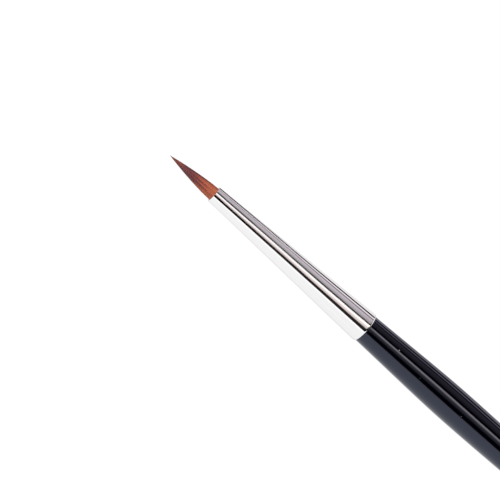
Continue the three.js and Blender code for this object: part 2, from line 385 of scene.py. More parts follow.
# %% Spread the roots
HAIRS = 2200
GOLDEN = np.pi * (3 - np.sqrt(5))
TUFT_LENGTH = 10.8
TUFT_FULLNESS = 1.5
STEP_BACK = 0.85
CROWDING = 0.45
ROOT_FIT = 0.005

dice = np.random.default_rng(25369)
TUFT_RADIUS = ferrule_inner[0] - ROOT_FIT


def seeds(count):
    """Sunflower seeds in a unit circle: radius sqrt(i / n), turned by the golden angle each."""
    i = np.arange(count)
    return np.sqrt((i + 0.5) / count)[:, None] * table(np.cos(i * GOLDEN), np.sin(i * GOLDEN))


def tuft_radius(share):
    """Radius of the tuft, from its mouth at share 0 to its point at share 1."""
    return TUFT_RADIUS * (1 - share ** TUFT_FULLNESS)


def bundle_left(share):
    """How much of the bundle, by radius, hasn't come to its end yet."""
    return np.minimum(1, (tuft_radius(share) / tuft_radius(STEP_BACK)) ** CROWDING)


def last_share(root):
    """Where a hair rooted at this radius reaches the surface and ends: bundle_left solved."""
    thin = root ** (1 / CROWDING) * tuft_radius(STEP_BACK) / TUFT_RADIUS
    return (1 - thin) ** (1 / TUFT_FULLNESS)


roots = seeds(HAIRS)
root_radius = np.hypot(*roots.T)
HAIR_ROOM = np.sqrt(np.pi / HAIRS) / 2
print("hairs", HAIRS, "each with", round(2 * TUFT_RADIUS * HAIR_ROOM, 3), "mm of room")

# %% [markdown]
# Locks
#
# Hair never lies quite evenly. Damp or dressed hairs cling together in small locks, and that is
# what a photograph shows of them: fine streaks, lighter and darker. Each hair joins the
# nearest of a few dozen lock centres, leans a little toward it and takes part of its tone.

# %% Gather the hairs in locks
LOCKS = 64

lock_seeds = seeds(LOCKS)
lock_of = np.argmin(((roots[:, None] - lock_seeds[None]) ** 2).sum(axis=-1), axis=1)
lock_tone = dice.uniform(-1, 1, LOCKS)[lock_of]
lock_band = dice.uniform(-1, 1, LOCKS)[lock_of]
hair_tone = dice.uniform(-1, 1, HAIRS)
raggedness = dice.uniform(0, 1, HAIRS)
print("locks", LOCKS, "with about", HAIRS // LOCKS, "hairs each")

# %% [markdown]
# The path of each hair
#
# A hair keeps to its own part of the bundle: rooted halfway out, it stays halfway out, while
# the bundle narrows round it. It leans toward its lock, wavers by a few thousandths of a
# millimetre, and comes to its own point over its last half millimetre, as real hair does.

# %% Lay the hairs
HAIR_STOPS = 9
STOP_CROWDING = 0.85
HAIR_FILL = 1.3
SHORTEST = 0.045
NEEDLE = 0.994
GATHER = 0.22
GATHER_SPEED = 1.1
LOCK_DEPTH = 0.05
WAVER = 0.006
WAVES = 9
WAVE_START, WAVE_WAY = 40, 30
POINT_LENGTH = 0.5
POINT_TAPER = 0.7


def hair_paths(chosen):
    """Of the chosen hairs, at each stop: share of the tuft, place across it, half thickness.

    Place = (own root, drawn toward its lock) * the bundle's spread there + a small wave. The
    half thickness follows the room that a hair has, down to nothing over its last stretch.
    """
    ragged = SHORTEST * raggedness[chosen] * root_radius[chosen]
    end = np.minimum(last_share(root_radius[chosen]) - ragged, NEEDLE)
    t = np.linspace(0, 1, HAIR_STOPS)[None] ** STOP_CROWDING
    share = end[:, None] * t
    spread = (1 - HAIR_FILL * HAIR_ROOM) * tuft_radius(share) / bundle_left(share)
    lean = GATHER * np.sin(np.pi * np.minimum(share * GATHER_SPEED, 0.5))
    swell = 1 + LOCK_DEPTH * (lock_tone[chosen][:, None] - 1) / 2 * np.sin(np.pi * t)
    own, lock = roots[chosen][:, None], lock_seeds[lock_of[chosen]][:, None]
    flat = own * (1 - lean[..., None]) + lock * lean[..., None]
    flat = flat * np.minimum(spread * swell, TUFT_RADIUS)[..., None]
    wave = WAVER * np.sin(WAVES * share + WAVE_START * raggedness[chosen][:, None])
    flat = flat + wave[..., None] * table(np.cos(WAVE_WAY * own[..., 0]),
                                          np.sin(WAVE_WAY * own[..., 1]))
    left = (end[:, None] - share) * TUFT_LENGTH / POINT_LENGTH
    half = HAIR_FILL * (spread * HAIR_ROOM) * np.minimum(1, left) ** POINT_TAPER
    return share, flat, half


bent = hair_paths(np.arange(HAIRS))
print("the hairs are", (2 * bent[2].max()).round(3), "mm thick at most")

# %% [markdown]
# The skin of each hair
#
# Round every path goes a three-sided tube with a point. Its flats would glitter, each
# catching the lamp by itself. A dressed tuft shines as one smooth body, so most of each
# normal is taken from the tuft as a whole and only a part from the hair's own side.

# %% Draw every hair
HAIR_SIDES = 3
ROOT_DEPTH = 0.6
DRESSED = 0.8
POINTING = 0.12
TINY = 1e-9


def dressed_normals(flat, spin):
    """Normals: dressed part * outward from the axis + the rest * outward from the hair."""
    outward = flat / (np.hypot(flat[..., 0], flat[..., 1])[..., None] + TINY)
    shine = DRESSED * outward[:, :, None] + (1 - DRESSED) * table(np.cos(spin), -np.sin(spin))
    shine = shine[..., :1] * ACROSS + shine[..., 1:] * UP - POINTING * AXIS
    shine = np.concatenate([shine[:, :-1].reshape(len(flat), -1, 3),
                            shine[:, -1].mean(axis=1)[:, None]], axis=1).reshape(-1, 3)
    return shine / np.linalg.norm(shine, axis=1)[:, None]


def hair_shapes(chosen):
    """Points, faces, marks and normals of the chosen hairs.

    At each stop of its path a hair has a ring of three points, and at its end a single one.
    """
    count = len(chosen)
    share, flat, half = hair_paths(chosen)
    along = -share * TUFT_LENGTH
    along[:, 0] = ROOT_DEPTH
    spin = 2 * np.pi * np.arange(HAIR_SIDES) / HAIR_SIDES + np.pi * hair_tone[chosen][:, None, None]
    across = flat[..., :1] + half[..., None] * np.cos(spin)
    up = flat[..., 1:] - half[..., None] * np.sin(spin)
    reach = np.repeat(along[..., None], HAIR_SIDES, axis=-1)
    points = place(reach, across, up)
    body, tips = points[:, :-1].reshape(count, -1, 3), points[:, -1].mean(axis=1)[:, None]
    each = body.shape[1] + 1
    first = (np.arange(count) * each)[:, None, None]
    tube = grid_faces(HAIR_STOPS - 1, HAIR_SIDES)[None] + first
    ring = each - 1 - HAIR_SIDES + np.arange(HAIR_SIDES)
    cone = table(ring, np.roll(ring, -1), ring * 0 + each - 1)[None] + first
    cap = np.arange(HAIR_SIDES)[::-1][None, None] + first
    faces = [f.reshape(-1, f.shape[-1]) for f in (tube, cone, cap)]
    mark = np.repeat(share[:, :-1], HAIR_SIDES, axis=1)
    marks = {"share": np.concatenate([mark, share[:, -1:]], axis=1).ravel(),
             "lock": np.repeat(lock_tone[chosen], each),
             "band": np.repeat(lock_band[chosen], each),
             "tone": np.repeat(hair_tone[chosen], each)}
    points = np.concatenate([body, tips], axis=1).reshape(-1, 3)
    return points, faces, marks, dressed_normals(flat, spin)


# %% [markdown]
# Four layers
#
# The CAD model has the bundle in four layers, each fused to a slice of its glued roots. The
# same slices are made here, round and smooth, and each carries the fine hairs of its layer.

# %% Build the layers of the tuft
RINGS_OF_BUNDLE = 10.5
LAYERS = {"hair_core": (0, 3.5), "hair_inner": (3.5, 6.5),
          "hair_middle": (6.5, 8.5), "hair_outer": (8.5, 10.5)}
ROOT_SINK = 0.3
LAYER_FIT = 0.02

root_back = ((corners("hair_outer") - MOUTH) @ AXIS).max() / MM
tuft_layers = []
for node, (inner, outer) in LAYERS.items():
    low, high = inner / RINGS_OF_BUNDLE, outer / RINGS_OF_BUNDLE
    chosen = np.flatnonzero((root_radius >= low) & (root_radius < high))
    points, faces, marks, shine = hair_shapes(chosen)
    wide = high * TUFT_RADIUS * ROUND - LAYER_FIT / 2
    narrow = low * TUFT_RADIUS * ROUND + LAYER_FIT / 2
    if inner == 0:
        line = [[ROOT_SINK, 0], [ROOT_SINK, wide], [root_back, wide], [root_back, 0]]
    else:
        line = [[ROOT_SINK, wide], [root_back, wide], [root_back, narrow], [ROOT_SINK, narrow]]
    slice_points, slice_faces, _ = spun(line, closed=inner > 0)
    faces = faces + [f + len(points) for f in slice_faces]
    marks = {mark: np.append(values, np.zeros(len(slice_points)))
             for mark, values in marks.items()}
    layer = make_piece(node + "_fine", np.vstack([points, slice_points]), faces, marks,
                       node)
    shine = np.vstack([shine, 0 * slice_points])
    layer.data.normals_split_custom_set_from_vertices(shine.tolist())
    tuft_layers.append(layer)

# %% [markdown]
# The thread
#
# Inside the ferrule a thread ties the roots. It doesn't show, but a part that is taken apart
# should still look right. A plain ring could stand for it. Real thread is two strands twisted
# together, so a small circle goes round a circle that climbs round the bundle.

# %% Wind the thread
THREAD_THICKNESS = 0.22
THREAD_TURNS = 4
THREAD_PITCH = 0.7
PLY_TWIST = 11
PLY_STEPS = 96
PLY_SIDES = 10

thread_along, thread_outer, _ = rings("root_thread")
thread_reach = thread_outer.max() / ROUND - THREAD_THICKNESS / 2
thread_start = (thread_along[0] + thread_along[-1] - THREAD_TURNS * THREAD_PITCH) / 2


def ply(phase):
    """One strand: route + ply radius * (out, side), with the pair turning as it goes."""
    turn = np.linspace(0, THREAD_TURNS, THREAD_TURNS * PLY_STEPS + 1)
    angle = 2 * np.pi * turn
    out = table(-np.sin(angle), np.cos(angle))
    twist = angle * PLY_TWIST + phase
    quarter = THREAD_THICKNESS / 4
    reach = thread_reach + quarter * np.cos(twist)
    along = thread_start + THREAD_PITCH * turn + quarter * np.sin(twist)
    ends = np.minimum(1, np.minimum(turn, THREAD_TURNS - turn) * PLY_STEPS / 2)
    side = 2 * np.pi * np.arange(PLY_SIDES) / PLY_SIDES
    size = (quarter * ends)[:, None]
    far = reach[:, None] + size * np.cos(side)
    return place(along[:, None] - size * np.sin(side), far * out[:, :1], far * out[:, 1:])


thread_points, thread_faces, thread_marks = [], [], []
for phase in (0, np.pi):
    strand = ply(phase)
    rows = len(strand) - 2
    first = sum(len(p) for p in thread_points)
    middle = strand[1:-1].reshape(-1, 3)
    start = first + np.arange(PLY_SIDES)
    thread_points += [middle, strand[[0, -1], 0]]
    thread_faces += [grid_faces(rows, PLY_SIDES, first)]
    thread_faces += end_fans(start, start + (rows - 1) * PLY_SIDES, first + len(middle))
    thread_marks.append(np.append(np.repeat(np.linspace(0, 1, rows), PLY_SIDES), [0, 1]))
thread = make_piece("root_thread_twisted", np.vstack(thread_points), thread_faces,
                    {"run": np.concatenate(thread_marks)}, "root_thread")

# %% [markdown]
# Cement and glue
#
# Behind the tied roots is a plug of poured cement with a cup for them, and a film of glue
# holds the tenon. Both filled the room that they had, so they are the CAD outlines, made
# round: the first a solid, the second a thin pipe. Their edges stay crisp, as cast.

# %% Cast the cement and the glue
cement_along, cement_outer, cement_inner = rings("root_cement")
cup, floor_at, back = cement_along
cement_line = [[floor_at, 0], [floor_at, cement_inner[0]], [cup, cement_inner[0]],
               [cup, cement_outer[0]], [back, cement_outer[-1]], [back, 0]]
cement = turned("root_cement_cast", cement_line, "root_cement")

glue_along, glue_outer, glue_inner = rings("tenon_glue")
glue_line = [[glue_along[0], glue_outer[0]], [glue_along[-1], glue_outer[-1]],
             [glue_along[-1], glue_inner[-1]], [glue_along[0], glue_inner[0]]]
glue = turned("tenon_glue_film", glue_line, "tenon_glue", closed=True)
for hidden in (cement, glue):
    hidden.data.set_sharp_from_angle(angle=SHARP_EDGE)

# %% [markdown]
# Writing materials as sums
#
# A material is a small program. Written node by node it is hard to read, so a wire between
# nodes is wrapped in a class that understands plus, minus, times and divide, with a plain
# number on either side: an expression on wires adds the Math nodes.

# %% Nodes as numbers
class Wire:
    """An output of a node, used in sums like a number."""

    def __init__(self, board, output):
        self.board, self.output = board, output

    def also(self, name):
        """Another output of the same node."""
        return Wire(self.board, self.output.node.outputs[name])

    def math(self, operation, *values):
        """A Math node on these values."""
        return self.board.node("Math", {"operation": operation}, dict(enumerate(values)))

    def __add__(self, other):
        return self.math("ADD", self, other)

    def __sub__(self, other):
        return self.math("SUBTRACT", self, other)

    def __rsub__(self, other):
        return self.math("SUBTRACT", other, self)

    def __mul__(self, other):
        return self.math("MULTIPLY", self, other)

    def __truediv__(self, other):
        return self.math("DIVIDE", self, other)

    def __rtruediv__(self, other):
        return self.math("DIVIDE", other, self)

    __radd__ = __add__
    __rmul__ = __mul__


# %% [markdown]
# One method for all other nodes
#
# Every node is added in one way: its settings first, then the wires, numbers and colours of
# its sockets. The short methods after it only name what the finishes use again and again.
# Each finish starts with one Principled shader on its pieces, whose sockets are fed by name.

# %% A board for the nodes
class Board:
    """The nodes of one material or of the world."""

    def __init__(self, owner):
        owner.use_nodes = True
        self.tree = owner.node_tree
        self.tree.nodes.clear()

    def feed(self, inputs, values):
        """Links wires to the sockets, and sets plain values on them."""
        for name, value in values.items():
            if isinstance(value, Wire):
                self.tree.links.new(value.output, inputs[name])
            else:
                inputs[name].default_value = value

    def node(self, kind, settings=None, sockets=None, out=0):
        """Adds a node: its settings first, then values or wires for its sockets."""
        made = self.tree.nodes.new("ShaderNode" + kind)
        for name, value in (settings or {}).items():
            if name == "stops":
                self.set_stops(made.color_ramp, value)
            else:
                setattr(made, name, value)
        self.feed(made.inputs, sockets or {})
        return Wire(self, made.outputs[out]) if len(made.outputs) else made

    def set_stops(self, ramp, stops):
        """Colours of a ramp: (place from 0 to 1, colour), in order."""
        for place_on, colour in stops[2:]:
            ramp.elements.new(place_on)
        for element, (place_on, colour) in zip(ramp.elements, stops):
            element.position = place_on
            element.color = (*colour, 1)

    def mixed(self, factor, a, b):
        """A colour between a and b."""
        a, b = ((*v, 1) if isinstance(v, tuple) else v for v in (a, b))
        return self.node("Mix", {"data_type": "RGBA"}, {0: factor, 6: a, 7: b}, out=2)

    def ramp(self, value, stops):
        """The colour that a ramp has at a value from 0 to 1."""
        return self.node("ValToRGB", {"stops": stops}, {0: value})

    def noise(self, vector, scales, detail=2, roughness=0.5):
        """Cloudy noise from 0 to 1, with its own scale for each part of the vector."""
        return self.node("TexNoise", {}, {"Vector": self.times(vector, scales), "Scale": 1,
                                          "Detail": detail, "Roughness": roughness})

    def smooth(self, value, low, high):
        """0 below low, 1 above high, and an S curve between."""
        return self.node("MapRange", {"interpolation_type": "SMOOTHSTEP"},
                         {0: value, 1: low, 2: high, 3: 0, 4: 1})

    def read(self, name, out="Fac"):
        """A mark of the mesh."""
        return self.node("Attribute", {"attribute_name": name}, out=out)

    def here(self):
        """The place on the piece, in metres."""
        return self.node("TexCoord", out="Object")

    def times(self, vector, factors):
        """Each of the three parts of a vector or colour, times its own factor."""
        return self.node("VectorMath", {"operation": "MULTIPLY"}, {0: vector, 1: factors})

    def less(self, vector, other):
        return self.node("VectorMath", {"operation": "SUBTRACT"}, {0: vector, 1: tuple(other)})

    def along(self, vector, direction):
        """How far a vector goes in a direction: their dot product."""
        return self.node("VectorMath", {"operation": "DOT_PRODUCT"},
                         {0: vector, 1: tuple(direction)}, out="Value")

    def bumps(self, height, depth, strength=1.0):
        """Normals of a surface with small heights, of a depth in mm."""
        return self.node("Bump", {}, {"Strength": strength, "Distance": depth * MM,
                                      "Height": height})


# %% Start a finish
def finish_for(name, *pieces):
    """A new material on those pieces. Returns its board, with its main shader."""
    material = bpy.data.materials.new(name)
    board = Board(material)
    board.shader = board.node("BsdfPrincipled")
    board.node("OutputMaterial", {}, {"Surface": board.shader})
    for piece in pieces:
        piece.data.materials.append(material)
    print("finish", name, "on", [piece.name for piece in pieces])
    return board


def wire_to(board, **values):
    """Sets or links the main shader's sockets, named with _ for a space."""
    named = {name.replace("_", " "): value for name, value in values.items()}
    board.feed(board.shader.output.node.inputs, named)


# %% [markdown]
# Drawn metal
#
# The ferrule is polished bright, so it is nearly a mirror and its look is the studio in
# it. Drawing leaves hair-fine lines along it. A texture on room coordinates would cross the
# cone at a slant, so the lines read the "around" mark, squeezed along the brush: noise that
# changes quickly round the cone and slowly along it.

# %% Metal finish
FINE_LINES = (26, 26, 0.05)
BROAD_LINES = (7, 7, 0.02)
SMUDGES = (1.4, 1.4, 0.22)
LINE_DEPTH = 0.006
METAL_IN_LINES, METAL_BETWEEN = (0.842, 0.834, 0.842), (0.900, 0.892, 0.895)

board = finish_for("drawn_metal", ferrule)
around = board.read("around", "Vector")
fine_lines = board.noise(around, FINE_LINES, detail=3, roughness=0.6)
broad_lines = board.noise(around, BROAD_LINES, detail=2)
smudge = board.noise(around, SMUDGES, detail=3)
lines = 0.5 * fine_lines + 0.5 * broad_lines
metal = board.mixed(board.smooth(lines, 0.35, 0.65), METAL_IN_LINES, METAL_BETWEEN)
wire_to(board, Metallic=1.0, Base_Color=metal, Normal=board.bumps(lines, LINE_DEPTH),
        Specular_Tint=(0.84, 0.80, 0.82, 1),
        Roughness=0.02 + 0.05 * lines + 0.02 * smudge)

# %% [markdown]
# Dipped lacquer
#
# The lacquer is a thick clear gloss over blue-black paint. All that shows of it is what it
# reflects, a twentieth of the light that falls on it and a little bluer. Its surface is not
# quite flat: dipping leaves long soft waves, and a few specks of dust settled before it was
# dry. Each speck is a spot at a measured place along and round the handle.

# %% Lacquer finish
WAVES_OF_DIP = (1.3, 1.3, 0.12)
ORANGE_PEEL = (9, 9, 2.4)
LACQUER_DEPTH = 0.003
DUST = (  # along in mm, degrees round from the near side, radius in mm, paleness
    (44.45, 20, 0.19, 0.32),
    (61.4, -8.5, 0.12, 0.12),
    (50.75, -5.5, 0.075, 0.08),
)
DUST_COLOUR = (1.0, 0.95, 0.98)
DUST_CORE, DUST_RAGGED = 0.5, 0.2

board = finish_for("blue_black_lacquer", handle)
around = board.read("around", "Vector")
waves = board.noise(around, WAVES_OF_DIP, detail=1)
peel = board.noise(around, ORANGE_PEEL, detail=2)
dust, settled = 0, 0
for along, degrees, size, paleness in DUST:
    angle = NEAR_ANGLE + TURN_SIGN * np.radians(degrees)
    radius = np.interp(along, *handle_profile.T)
    from_speck = board.less(around, (np.cos(angle), np.sin(angle), along))
    far = board.node("VectorMath", {"operation": "LENGTH"},
                     {0: board.times(from_speck, (radius, radius, 1))}, out="Value")
    speck = 1 - board.smooth(far + DUST_RAGGED * size * peel, DUST_CORE * size, size)
    dust = dust + speck
    settled = settled + paleness * speck
film = board.mixed(peel, (0.0001, 0.0001, 0.0012), (0.0010, 0.0012, 0.0030))
lacquer = board.mixed(settled, film, DUST_COLOUR)
height = 0.4 * waves + peel + 3 * dust
wire_to(board, Base_Color=lacquer, Normal=board.bumps(height, LACQUER_DEPTH),
        IOR=1.704, Specular_Tint=(0.635, 0.718, 1.0, 1),
        Roughness=0.02 + 0.02 * peel + 0.3 * dust)

# %% [markdown]
# Bare wood
#
# The tenon is pale, close-grained wood as the lathe left it: long fibres along the brush and
# fine rings where the tool went round.

# %% Bare wood finish
FIBRES = (14, 14, 0.25)
GRAIN = (2.5, 2.5, 0.06)
TOOL_RINGS = (0.2, 0.2, 9.0)
WOOD_DEPTH = 0.02

board = finish_for("bare_turned_wood", tenon_piece)
around = board.read("around", "Vector")
fibres = board.noise(around, FIBRES, detail=4, roughness=0.65)
grain = board.noise(around, GRAIN, detail=2)
rings_cut = board.noise(around, TOOL_RINGS, detail=1)
pale = board.mixed(fibres, (0.50, 0.33, 0.18), (0.72, 0.54, 0.34))
wood = board.mixed(board.smooth(grain, 0.4, 0.7), pale, (0.42, 0.27, 0.15))
wire_to(board, Base_Color=wood, Roughness=0.6 + 0.15 * fibres,
        Normal=board.bumps(0.6 * fibres + 0.4 * rings_cut, WOOD_DEPTH, strength=0.5))

# %% [markdown]
# Red hair with a dark band
#
# Each hair is banded by nature: orange-brown at the root, dark in its belly and
# fiery at the point, where it is thin enough to let light through. The bands don't line
# up from hair to hair, so the colour reads each hair's own place along the tuft, pushed to and
# fro by its tone and by its lock. Across the tuft, painted light and shade are added: the far side
# is painted lighter than the near side, the near margin gets painted light and the far margin
# painted shade.

# %% Band the hair
STRAND_NOISE = (150, 2600, 2600)
LOCK_PUSH, HAIR_PUSH, NOISE_PUSH = 0.11, 0.03, 0.08
# Painted light pushes the near margin toward the bright root colour; painted shade pushes the far
# margin toward the dark belly.
PAINTED_LIGHT_PUSH, PAINTED_SHADE_PUSH = -0.20, 0.12
# Painted shade across the tuft: its near side is darker than its far side, most of all toward the
# point.
SHADE_TILT, SHADE_TILT_BACK, SHADE_TILT_ZONE = -0.08, 0.27, (0.55, 0.75)
MARGIN = (0.50, 0.80)
BANDS = ((0.00, (0.650, 0.198, 0.104)), (0.18, (0.600, 0.172, 0.098)),
         (0.30, (0.460, 0.128, 0.088)), (0.42, (0.262, 0.086, 0.084)),
         (0.58, (0.240, 0.080, 0.084)), (0.72, (0.280, 0.098, 0.100)),
         (0.82, (0.400, 0.124, 0.106)), (0.90, (0.560, 0.146, 0.080)),
         (1.00, (0.760, 0.290, 0.200)))

board = finish_for("banded_hair", *tuft_layers)
share, lock, band, tone = (board.read(mark) for mark in ("share", "lock", "band", "tone"))
side = board.along(board.less(board.here(), MOUTH), far_edge) / (TUFT_RADIUS * MM)
uneven = board.noise(board.here(), STRAND_NOISE, detail=2) - 0.5
# Masks of the near and far margins, for the painted light and the painted shade.
painted_light_margin = board.smooth(0 - side, *MARGIN)
painted_shade_margin = board.smooth(side, *MARGIN)
painted_side_shade = SHADE_TILT_BACK * board.smooth(share, *SHADE_TILT_ZONE) + SHADE_TILT
banded = (share + LOCK_PUSH * band + HAIR_PUSH * tone + NOISE_PUSH * uneven + painted_side_shade * side
          + PAINTED_LIGHT_PUSH * painted_light_margin + PAINTED_SHADE_PUSH * painted_shade_margin)
bands = board.ramp(banded, BANDS)

# %% [markdown]
# Streaks
#
# Along the length of the tuft its locks show as lighter and darker streaks. They are faint
# at the glued roots, clear from a quarter of the way on, and lost in painted light at the near
# margin.

# %% Streak the hair
DARK_STREAK, BRIGHT_STREAK = (0.66, 0.58, 0.62), (1.16, 1.12, 1.06)
AT_ROOTS, FARTHER_ON, FADE_IN = 0.08, 0.30, (0.08, 0.28)
HAIR_STREAK, NOISE_STREAK, PAINTED_MARGIN_LIGHT = 0.10, 0.2, 0.35

contrast = AT_ROOTS + FARTHER_ON * board.smooth(share, *FADE_IN)
# Painted light: the streaks are brightened at the near margin.
streak = board.smooth(0.5 + contrast * lock + HAIR_STREAK * tone + NOISE_STREAK * uneven
                      + PAINTED_MARGIN_LIGHT * painted_light_margin, 0.05, 0.95)
colour = board.mixed(streak, board.times(bands, DARK_STREAK), board.times(bands, BRIGHT_STREAK))
wire_to(board, Base_Color=colour, Roughness=0.42 + 0.12 * streak,
        Specular_IOR_Level=0.3)
print("the streaks are", DARK_STREAK, "to", BRIGHT_STREAK, "times the colour of the bands")

# %% [markdown]
# Thread, cement and glue finishes
#
# Waxed thread is pale and slightly uneven in tone, cement is cast amber, and the glue has
# dried pale. Each gets a small unevenness at its own scale.

# %% Hidden finishes
THREAD_FUZZ, CLOUDS, GRAINS = ((scale,) * 3 for scale in (14000, 2200, 9000))

board = finish_for("waxed_thread", thread)
fibres = board.noise(board.here(), THREAD_FUZZ, detail=3, roughness=0.6)
wire_to(board, Base_Color=board.mixed(fibres, (0.62, 0.55, 0.42), (0.82, 0.77, 0.64)),
        Roughness=0.7 + 0.15 * fibres + 0.02 * board.read("run"), Sheen_Weight=0.2,
        Normal=board.bumps(fibres, 0.01, strength=0.6))

for name, piece, deep, pale, rough in (
        ("amber_cement", cement, (0.30, 0.13, 0.03), (0.52, 0.28, 0.09), 0.22),
        ("dried_glue", glue, (0.60, 0.52, 0.36), (0.74, 0.69, 0.56), 0.4)):
    board = finish_for(name, piece)
    cloud = board.noise(board.here(), CLOUDS, detail=3)
    grainy = board.noise(board.here(), GRAINS, detail=2)
    wire_to(board, Base_Color=board.mixed(cloud, deep, pale),
            Roughness=rough + 0.12 * grainy,
            Normal=board.bumps(0.7 * cloud + 0.3 * grainy, 0.015, strength=0.4))

# %% [markdown]
# The camera
#
# The photograph looks down on the brush from its side, with the point nearer than the tail.
# The view is built from the brush's own axis: back toward the camera, then along and
# across the picture, so the angle of the brush in the frame is exact.

# %% Place the camera
TIP_NEARER = np.radians(10)
SLANT = np.array([0.7501, 0.6613])
LENS = 171.2
DISTANCE = 432.3
LOOK_ALONG = 11.8
LOOK_BESIDE = -3.254
CLOSEST, FARTHEST = 0.01, 20

back = np.cos(TIP_NEARER) * near_side - np.sin(TIP_NEARER) * AXIS
run_in_view = unit(AXIS - back * (AXIS @ back))
beside = np.cross(back, run_in_view)
right = SLANT[0] * run_in_view + SLANT[1] * beside
top = SLANT[0] * beside - SLANT[1] * run_in_view
look_at = place(LOOK_ALONG, 0, 0) + LOOK_BESIDE * MM * beside
camera_at = look_at + back * DISTANCE * MM


def standing(at, *axes):
    """The matrix of an object that stands at a point, with its own x, y and z on these axes."""
    pose = np.eye(4)
    pose[:3, :3] = table(*axes)
    pose[:3, 3] = at
    return Matrix(pose.tolist())


camera = add("camera", bpy.data.cameras.new("camera"))
camera.data.lens = LENS
camera.data.clip_start, camera.data.clip_end = CLOSEST, FARTHEST
camera.matrix_world = standing(camera_at, right, top, back)
bpy.context.scene.camera = camera
print("camera at", (camera_at / MM).round(1), "mm")

# %% [markdown]
# The studio
#
# A mirror shows the room, so bright metal needs one. Product photographers build it from
# white cards, black cards and soft boxes that run along the subject. Real lamps of those
# shapes would throw their own patterns on the hair. Here only mirror-like rays see the cards:
# they are bands in the sky, drawn by the angle round the brush. What lights the hair and the
# floor is a plain, even white.
#
# 0 degrees faces the camera's side, plus goes over the top to the far edge, and minus goes
# down to the floor. Rays below about -35 degrees meet the floor, which glows white as well.

# %% List the cards
FERRULE_CARDS = (  # name, from and to in degrees, its light at each end, tint
    ("white sweep", -180, -35, 1.03, 0.99, "white"),
    ("its lit edge", -31, -23, 1.32, 1.32, "white"),
    ("black card", -19.8, -0.2, 0.02, 0.02, "rosy"),
    ("spill", 2.6, 16, 0.75, 1.00, "rosy"),
    ("soft box", 20, 23, 1.20, 1.28, "warm"),
    ("its far half", 25, 29, 1.32, 1.24, "white"),
    ("gap", 34.5, 42, 0.01, 0.03, "white"),
    ("near wall", 48.5, 73, 0.43, 0.61, "lilac"),
    ("far wall", 75, 79, 0.61, 0.59, "lilac"),
    ("seam", 84, 88.5, 0.17, 0.17, "lilac"),
    ("bright line", 93.5, 101.5, 0.98, 0.98, "lilac"),
    ("dark line", 105, 118.5, 0, 0, "white"),
    ("far sweep", 122.5, 180, 1.02, 0.96, "white"),
)
HANDLE_CARDS = (
    ("white sweep", -180, -27, 1.00, 0.94, "white"),
    ("black card", -22.5, -1.5, 0, 0, "white"),
    ("spill", 3, 18, 0.17, 0.54, "white"),
    ("soft box", 25.5, 30.5, 3.10, 3.30, "amber"),
    ("gap", 34, 45, 0, 0, "white"),
    ("near wall", 52, 74, 0.14, 0.28, "lilac"),
    ("far wall", 77, 81.5, 0.29, 0.28, "lilac"),
    ("seam", 86, 91.5, 0.01, 0.01, "lilac"),
    ("bright line", 97.5, 101.5, 1.24, 1.24, "lilac"),
    ("dark line", 104, 118, 0, 0, "white"),
    ("far sweep", 121, 130, 1.55, 1.10, "sky"),
    ("far corner", 134.5, 180, 0.44, 0.00, "white"),
)
MOUTH_CHANGES = {
    "its lit edge": (-31, -26.5, 1.32, 1.32, "white"),
    "black card": (-23.5, 0, 0, 0, "white"),
    "spill": (4, 15, 0.64, 1.02, "rosy"),
    "soft box": (18, 21, 1.20, 1.28, "warm"),
    "its far half": (23, 27, 1.32, 1.24, "white"),
    "gap": (33, 42, 0, 0, "white"),
    "dark line": (104, 131, 0, 0, "white"),
    "far sweep": (139, 180, 0.88, 0.80, "white"),
}
END_CARDS = (
    ("rim light", -180, -24, 1.60, 1.60, "white"),
    ("dark middle", -19, 48, 0.00, 0.05, "white"),
    ("far rim", 60, 74, 0.30, 0.45, "lilac"),
    ("far rim light", 84, 180, 1.05, 1.05, "white"),
)
TINTS = {"white": (1.0, 1.0, 1.0), "rosy": (1.0, 0.875, 0.855), "warm": (1.0, 0.95, 0.93),
         "lilac": (1.0, 0.92, 0.985), "amber": (1.0, 0.925, 0.75), "sky": (0.78, 0.84, 1.0)}
mouth_cards = [(card[0], *MOUTH_CHANGES.get(card[0], card[1:])) for card in FERRULE_CARDS]
print("cards", len(FERRULE_CARDS), "for the ferrule and", len(HANDLE_CARDS), "for the handle")

# %% [markdown]
# Where a mirrored ray goes
#
# The ferrule and the handle need their own sets of cards, but a sky knows only directions.
# A direction still tells them apart. The shoulder of the handle widens more slowly than the
# cone and throws its rays further toward the tail, and from a near camera each place throws
# them a little further than the place before it. So "ahead", how far a ray goes along the
# brush past a ray from the joint, is below 0 for the metal and above 0 for the lacquer.

# %% Sort the rays
SLOPE_STEP = 20

world = bpy.data.worlds.new("studio")
bpy.context.scene.world = world
board = Board(world)
ray = board.node("TexCoord", out="Generated")
height, width, reach = (board.along(ray, v) for v in (far_edge, near_side, AXIS))
round_it = height.math("ARCTAN2", height, width)

to_joint = unit(place(FERRULE_LENGTH, 0, 0) - camera_at)
cone_lean = np.arctan((ferrule_outer[ROLL_RING] - ferrule_outer[LIP_RING])
                      / (ferrule_along[ROLL_RING] - ferrule_along[LIP_RING]))
shoulder_lean = np.arctan((body[SLOPE_STEP, 1] - body[0, 1]) / (body[SLOPE_STEP, 0] - body[0, 0]))
lean = (cone_lean + shoulder_lean) / 2
facing = -(to_joint @ near_side)
half_turn = round_it / 2
edge = to_joint @ AXIS - 2 * lean * facing * half_turn.math("COSINE", half_turn)
ahead = reach - edge
print("leans in degrees:", np.degrees([cone_lean, shoulder_lean]).round(2), "reach at the joint",
      round(float(to_joint @ AXIS), 3))

# %% [markdown]
# Hanging the cards
#
# A set of cards becomes one colour ramp over the angle round the brush. The cards of a real
# studio don't run quite along the subject, so a fan turns and widens them from one end to the
# other. The sets are cross-faded by "ahead": mouth, ferrule, handle, and behind the belly,
# where only other views look, a plain set with two rims of light.

